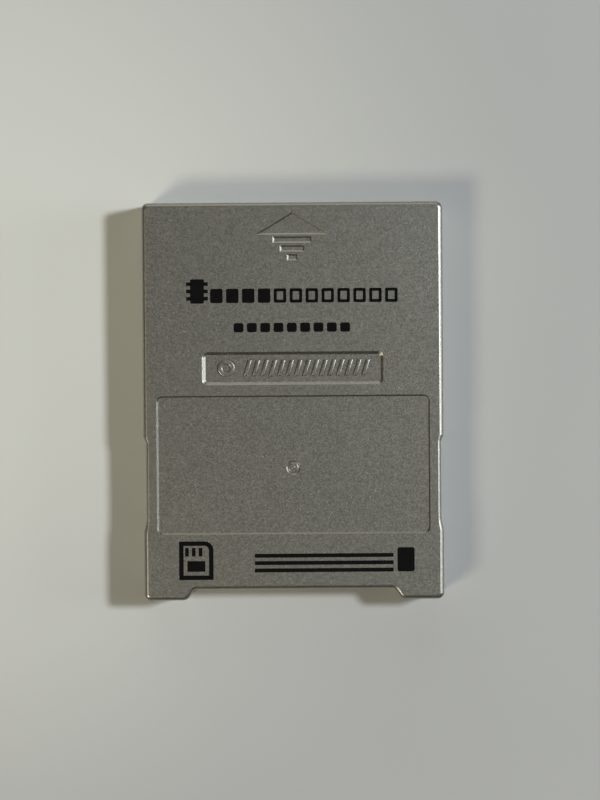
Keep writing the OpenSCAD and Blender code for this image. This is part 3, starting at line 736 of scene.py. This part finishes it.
card_print = print_piece(card_sign(), "card_print")
line_print = print_piece(ruled_lines(), "line_print")
print("card sign, faces:", len(card_print.data.polygons), "lines, faces:", len(line_print.data.polygons))


# %% [markdown]
# ## Table and light
# The table is a matt white sheet, larger than the picture. Its colour carries a painted pool of light: it
# is painted brighter round a spot beyond its left side, as a sheet near a window is lit. Four soft lamps
# light the card. The right lamp is small and high, so it draws the clear shadow on the left. The near left
# lamp is warmer and larger, and draws the faint shadows to the right and behind. A flat face of metallic
# paint seen from above mirrors mainly what is over it, so its edges need light of their own. Two broad
# windows stand low, at the far side and on the right, and brighten the rounded edges and the walls of the
# recesses that lean their way. A dim warm world fills what is left.

# %% Table, lamps and world
TABLE_COLOUR_PAINTED_LIT = (0.632, 0.634, 0.58, 1)
TABLE_COLOUR_DIM = (0.402, 0.406, 0.392, 1)
PAINTED_LIGHT_SPOT, PAINTED_LIGHT_NEAR, PAINTED_LIGHT_FAR = (-58 * MM, 16 * MM), 20 * MM, 100 * MM
TABLE_PATCH, TABLE_FIBRE, TABLE_SIDE = 30 * MM, 0.8 * MM, 3.0


def table_finish():
    """A matt pale sheet, with a painted pool of light round one spot."""
    net = Net("table_top")
    split = net.node("ShaderNodeSeparateXYZ", Vector=net.place())[1]
    x = Value(net, split.outputs["X"]) - PAINTED_LIGHT_SPOT[0]
    y = Value(net, split.outputs["Y"]) - PAINTED_LIGHT_SPOT[1]
    reach = (x * x + y * y).maths("SQRT")
    patch = noise(net, TABLE_PATCH)
    # painted light: the colour is brighter the nearer it is to the spot
    share = 1 - reach.between(PAINTED_LIGHT_NEAR, PAINTED_LIGHT_FAR)
    colour = (share * 0.95 + patch * 0.1).tint(TABLE_COLOUR_DIM, TABLE_COLOUR_PAINTED_LIT)
    fibre = noise(net, TABLE_FIBRE, detail=3.0)
    shader = net.node(
        "ShaderNodeBsdfPrincipled", Base_Color=colour, Roughness=0.75,
        Normal=bump(net, fibre, 0.1, 0.02 * MM))[0]
    return net.surface(shader)


def add_table():
    """The table under the card."""
    bpy.ops.mesh.primitive_plane_add(size=TABLE_SIDE, location=(0, 0, 0))
    table = name_it("table_top")
    bpy.ops.object.mode_set(mode="EDIT")
    bpy.ops.mesh.select_all(action="SELECT")
    bpy.ops.mesh.subdivide(number_cuts=3)
    bpy.ops.object.mode_set(mode="OBJECT")
    wear(table, table_finish())


def add_lamp(name, towards, distance, size, power, colour):
    """A round soft lamp that faces the card. Distance and size are in metres, the power in watts."""
    place = Vector(towards).normalized() * distance
    bpy.ops.object.light_add(type="AREA", location=place)
    lamp = bpy.context.active_object
    lamp.name = name
    lamp.rotation_euler = (-place).to_track_quat("-Z", "Y").to_euler()
    lamp.data.shape = "DISK"
    lamp.data.size = size
    lamp.data.energy = power
    lamp.data.color = colour


def plain_world(colour, strength):
    """One dim colour from all round."""
    world = bpy.data.worlds.new("soft_room")
    world.use_nodes = True
    world.node_tree.nodes["Background"].inputs["Color"].default_value = colour
    world.node_tree.nodes["Background"].inputs["Strength"].default_value = strength
    bpy.context.scene.world = world


add_table()
add_lamp(
    "right_lamp", towards=(5.8, 1.4, 8.0), distance=0.9,
    size=0.11, power=5.7, colour=(0.88, 0.93, 1.0))
add_lamp(
    "near_left_lamp", towards=(-5.3, -3.8, 8.0), distance=0.9,
    size=0.22, power=2.85, colour=(1.0, 0.92, 0.74))
add_lamp(
    "far_window", towards=(-0.5, 6.0, 2.7), distance=1.2,
    size=1.1, power=2.75, colour=(1.0, 0.98, 0.92))
add_lamp(
    "right_window", towards=(8.0, 0.6, 2.9), distance=1.3,
    size=0.5, power=3.1, colour=(0.95, 0.98, 1.0))
plain_world(colour=(1.0, 0.93, 0.78, 1), strength=0.025)

# %% [markdown]
# The last cell keeps the colour handling plain and hands the scene over.

# %% Finish
bpy.context.scene.view_settings.view_transform = "Standard"
bpy.ops.object.select_all(action="DESELECT")
